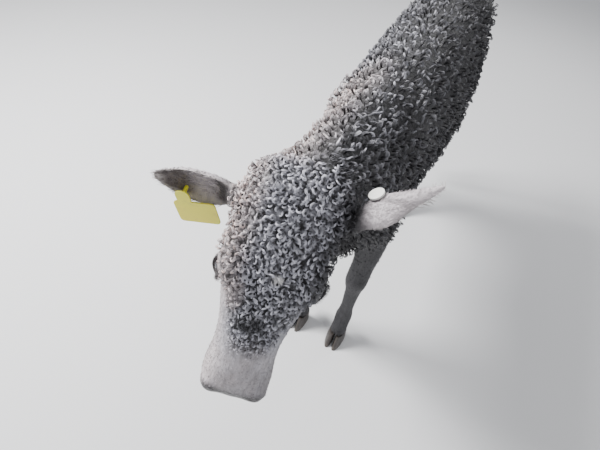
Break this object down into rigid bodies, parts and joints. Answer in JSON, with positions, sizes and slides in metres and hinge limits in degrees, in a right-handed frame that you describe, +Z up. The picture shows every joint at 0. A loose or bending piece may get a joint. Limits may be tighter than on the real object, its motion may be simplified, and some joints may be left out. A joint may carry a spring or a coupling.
{
  "type": "bull",
  "caption": "Young hornless bull with a curly coat standing with its head lowered, hooves flat on the floor, ears out to the sides, a tag in each ear.",
  "frame": {"origin": "on the floor, under the middle of the whole model's box", "axes": "+X to the animal's left, +Y towards its tail (it faces -Y), +Z up"},
  "size_m": [0.3868, 1.5138, 0.9438],
  "materials": {
    "coat": "black curly hair with grey-white highlights, short and smooth on face and legs",
    "ear_hair": "short grey-brown hair, darker inside the cup",
    "eye": "wet dark eyeball",
    "hoof": "dark horn with growth rings",
    "tag": "yellow flexible plastic, bare"
  },
  "bodies": {
    "root": {"torso": "coat", "neck": "coat", "head": "coat", "tail": "coat", "foreleg_left": "coat", "foreleg_right": "coat", "hindleg_left": "coat", "hindleg_right": "coat", "ear_left": "ear_hair", "ear_right": "ear_hair", "eye_left": "eye", "eye_right": "eye", "tag_left": "tag", "tag_right": "tag", "claw_front_left_outer": "hoof", "claw_front_left_inner": "hoof", "claw_front_right_outer": "hoof", "claw_front_right_inner": "hoof", "claw_rear_left_outer": "hoof", "claw_rear_left_inner": "hoof", "claw_rear_right_outer": "hoof", "claw_rear_right_inner": "hoof"}
  },
  "joints": []
}
